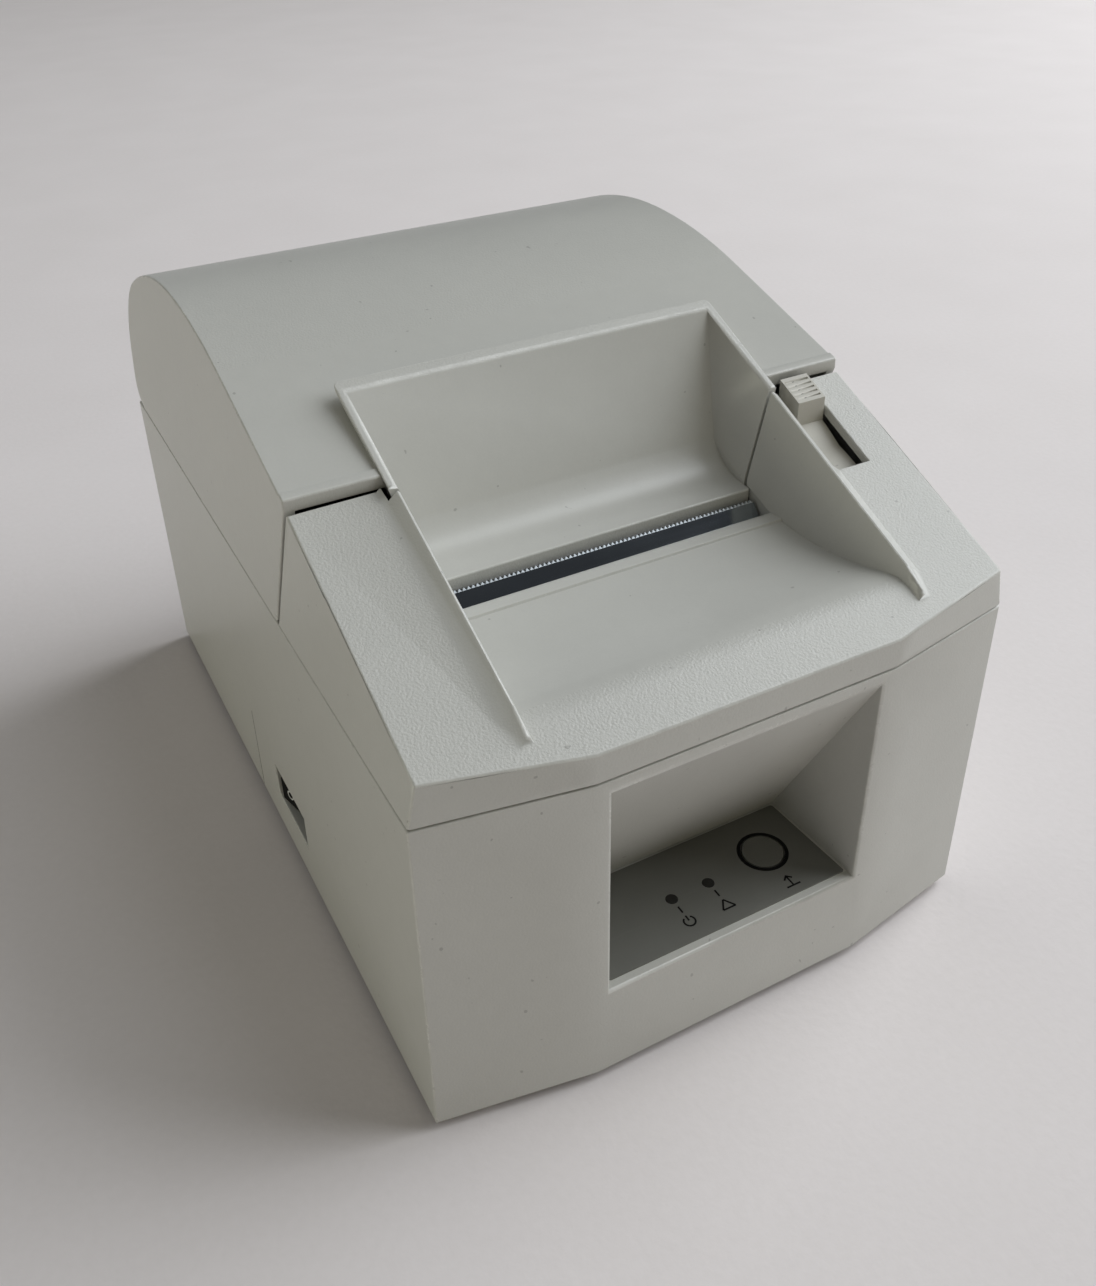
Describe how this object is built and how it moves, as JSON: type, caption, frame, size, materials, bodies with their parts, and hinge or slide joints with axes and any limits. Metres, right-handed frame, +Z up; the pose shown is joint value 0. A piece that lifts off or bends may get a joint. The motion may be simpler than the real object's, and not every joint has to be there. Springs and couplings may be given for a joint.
{
  "type": "receipt printer",
  "caption": "Desktop receipt printer with a hinged roll cover, an open lever, a tear bar, a recessed control panel, a side rocker switch and rear sockets.",
  "frame": {"origin": "on the floor under the middle of the case", "axes": "+X to the printer's right seen from the front, +Y to the back, +Z up"},
  "size_m": [0.147, 0.218, 0.1433],
  "materials": {
    "case_plastic": "fine moulded grain",
    "lever_plastic": "satin",
    "label_film": "satin film",
    "led_lens": "dark lens",
    "button_plastic": "satin",
    "switch_plastic": "semi gloss",
    "polished_steel": "polished",
    "sheet_steel": "zinc plated",
    "shaft_steel": "ground",
    "heatsink_alloy": "mill finish",
    "head_glass": "glazed",
    "platen_rubber": "ground",
    "foot_rubber": "matt",
    "gear_plastic": "natural",
    "motor_steel": "zinc plated",
    "board_laminate": "solder mask",
    "component_plastic": "moulded",
    "inner_plastic": "moulded"
  },
  "bodies": {
    "base": {"lower_case": "case_plastic", "front_cover": "case_plastic", "bottom_plate": "inner_plastic", "rubber_feet": "foot_rubber", "bottom_screws": "shaft_steel", "panel_label": "label_film", "power_led": "led_lens", "error_led": "led_lens", "feed_switch": "component_plastic", "panel_board": "board_laminate", "power_switch_body": "switch_plastic", "mechanism_frame": "sheet_steel", "spring_bar": "sheet_steel", "tear_bar": "polished_steel", "tear_bar_screws": "shaft_steel", "head_springs": "shaft_steel", "stepper_motor": "motor_steel", "idler_post": "shaft_steel", "hinge_pins": "shaft_steel", "paper_bin": "inner_plastic", "paper_sensor": "component_plastic", "main_board": "board_laminate", "board_components": "component_plastic", "interface_panel": "sheet_steel", "panel_screws": "shaft_steel", "dc_inlet": "component_plastic", "drawer_port": "component_plastic", "interface_port": "sheet_steel"},
    "lid": {"rear_cover": "case_plastic", "platen_holder": "sheet_steel", "holder_screws": "shaft_steel", "platen_bushes": "gear_plastic"},
    "platen": {"platen_roller": "platen_rubber", "platen_shaft": "shaft_steel", "platen_gear": "gear_plastic"},
    "idler": {"idler_gear": "gear_plastic"},
    "motor_rotor": {"motor_shaft": "shaft_steel", "motor_pinion": "shaft_steel"},
    "latch": {"latch_shaft": "shaft_steel", "latch_hooks": "sheet_steel", "open_lever": "lever_plastic", "lever_spring": "shaft_steel"},
    "feed_key": {"feed_button": "button_plastic"},
    "rocker": {"power_rocker": "switch_plastic"},
    "head": {"thermal_head": "head_glass", "head_heatsink": "heatsink_alloy"}
  },
  "joints": [
    {"name": "lid_hinge", "type": "hinge", "parent": "base", "child": "lid", "pos_m": [0, 0.102, 0.0965], "axis": [-1, 0, 0], "range_deg": [0, 80]},
    {"name": "platen_spin", "type": "hinge", "parent": "lid", "child": "platen", "pos_m": [0, -0.0402, 0.092], "axis": [1, 0, 0], "continuous": true},
    {"name": "idler_spin", "type": "hinge", "parent": "base", "child": "idler", "pos_m": [-0.0469, -0.03568, 0.07452], "axis": [1, 0, 0], "continuous": true},
    {"name": "motor_spin", "type": "hinge", "parent": "base", "child": "motor_rotor", "pos_m": [-0.0469, -0.02766, 0.06118], "axis": [1, 0, 0], "continuous": true},
    {"name": "lever_tilt", "type": "hinge", "parent": "base", "child": "latch", "pos_m": [0, -0.047, 0.071], "axis": [1, 0, 0], "range_deg": [0, 17], "stiffness_Nm_per_rad": 0.2, "springref_deg": -8.59},
    {"name": "feed_press", "type": "slide", "parent": "base", "child": "feed_key", "axis": [0, 0, -1], "range_m": [0, 0.0006], "stiffness_N_per_m": 600, "springref_m": -0.0006},
    {"name": "power_rock", "type": "hinge", "parent": "base", "child": "rocker", "pos_m": [-0.0684, -0.0105, 0.0195], "axis": [0, 0, -1], "range_deg": [0, 18]},
    {"name": "head_press", "type": "hinge", "parent": "base", "child": "head", "pos_m": [0, -0.051, 0.08], "axis": [1, 0, 0], "range_deg": [0, 2], "stiffness_Nm_per_rad": 2, "springref_deg": -5.73}
  ],
  "couplings": [
    {"joint": "idler_spin", "follows": "platen_spin", "ratio": -0.44},
    {"joint": "motor_spin", "follows": "platen_spin", "ratio": 1.8333}
  ]
}
